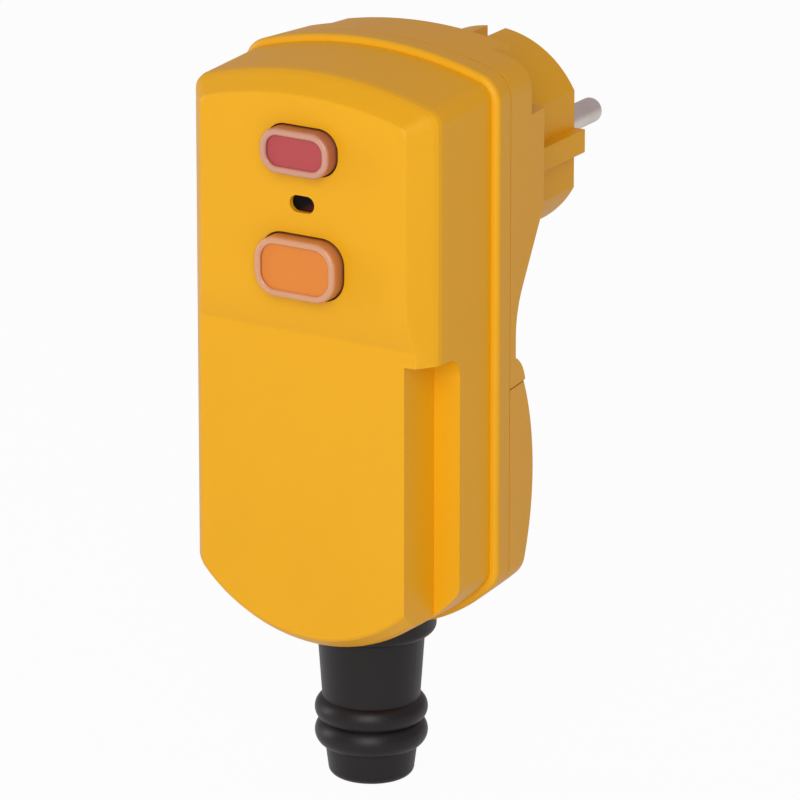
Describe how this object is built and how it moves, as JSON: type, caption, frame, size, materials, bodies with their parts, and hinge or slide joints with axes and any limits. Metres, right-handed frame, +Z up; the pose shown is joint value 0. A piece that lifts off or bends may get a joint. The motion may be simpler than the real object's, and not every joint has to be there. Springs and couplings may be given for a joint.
{
  "type": "portable residual current safety plug",
  "caption": "Yellow tower-shaped safety plug with a wall plug on its back, red test key, orange reset key, status window and black rubber cord sleeve.",
  "frame": {"origin": "midway between the two pins, where their free length starts, 0.6 mm in front of the plug's face", "axes": "+Z up along the tower, away from the cord; +Y along the pins into the wall; +X to the right when looking at the keys"},
  "size_m": [0.0542, 0.0904, 0.1412],
  "materials": {
    "housing": "fine satin moulding",
    "test_red": "gloss",
    "test_cap": "clear tinted gloss",
    "reset_orange": "gloss",
    "reset_cap": "clear tinted gloss",
    "lens": "smoked gloss",
    "flag": "satin",
    "insulation": "satin moulding",
    "frame": "satin moulding",
    "rubber": "satin rubber",
    "seal": "matt rubber",
    "nickel": "plated, satin",
    "steel": "zinc plated",
    "spring": "drawn wire",
    "brass": "stamped",
    "copper": "enamelled wire",
    "board": "varnished laminate",
    "core": "coated ferrite",
    "component": "dipped epoxy"
  },
  "bodies": {
    "housing": {"front_shell": "housing", "rear_shell": "housing", "terminal_cover": "housing", "plug_body": "housing", "line_pin": "nickel", "neutral_pin": "nickel", "earth_contact": "nickel", "earth_link": "brass", "line_link": "brass", "neutral_link": "brass", "housing_screws": "steel", "cover_screws": "steel", "plug_screws": "steel", "board_screws": "steel", "block_screws": "steel", "clamp_screws": "steel", "housing_seal": "seal", "circuit_board": "board", "transformer_core": "core", "transformer_winding": "copper", "capacitor": "component", "varistor": "component", "resistors": "component", "mechanism_frame": "frame", "latch_pin": "steel", "test_key_spring": "spring", "reset_key_spring": "spring", "fixed_contacts": "brass", "opening_springs": "spring", "test_contact": "brass", "window_lens": "lens", "trip_yoke": "steel", "coil_bobbin": "insulation", "trip_coil": "copper", "plunger_spring": "spring", "terminal_block": "insulation", "terminal_clamps": "brass", "terminal_screws": "steel", "cord_clamp": "insulation", "cord_sleeve": "rubber"},
    "test_button": {"test_key_cap": "test_cap", "test_key": "test_red"},
    "reset_button": {"reset_key_cap": "reset_cap", "reset_key": "reset_orange"},
    "carriage": {"contact_carriage": "frame", "moving_contacts": "brass", "contact_springs": "spring"},
    "flag": {"status_flag": "flag"},
    "plunger": {"trip_plunger": "steel"},
    "lever": {"latch_lever": "steel"}
  },
  "joints": [
    {"name": "test_press", "type": "slide", "parent": "housing", "child": "test_button", "axis": [0, 1, 0], "range_m": [0, 0.0018], "stiffness_N_per_m": 900, "springref_m": -0.001, "deforming": ["test_key_spring"]},
    {"name": "reset_press", "type": "slide", "parent": "housing", "child": "reset_button", "axis": [0, 1, 0], "range_m": [0, 0.0025], "stiffness_N_per_m": 1400, "springref_m": -0.001, "deforming": ["reset_key_spring", "opening_springs"]},
    {"name": "carriage_slide", "type": "slide", "parent": "housing", "child": "carriage", "axis": [0, 1, 0], "range_m": [0, 0.0025]},
    {"name": "flag_slide", "type": "slide", "parent": "housing", "child": "flag", "axis": [0, 0, 1], "range_m": [0, 0.0024]},
    {"name": "trip_pull", "type": "slide", "parent": "housing", "child": "plunger", "axis": [0, 0, -1], "range_m": [0, 0.0013], "stiffness_N_per_m": 150, "springref_m": -0.001, "deforming": ["plunger_spring"]},
    {"name": "latch_turn", "type": "hinge", "parent": "housing", "child": "lever", "pos_m": [0, -0.0485, -0.0195], "axis": [1, 0, 0], "range_deg": [0, 10]}
  ],
  "couplings": [
    {"joint": "carriage_slide", "follows": "reset_press", "ratio": 1},
    {"joint": "flag_slide", "follows": "reset_press", "ratio": 0.96},
    {"joint": "latch_turn", "follows": "trip_pull", "rad_per_m": 134}
  ]
}
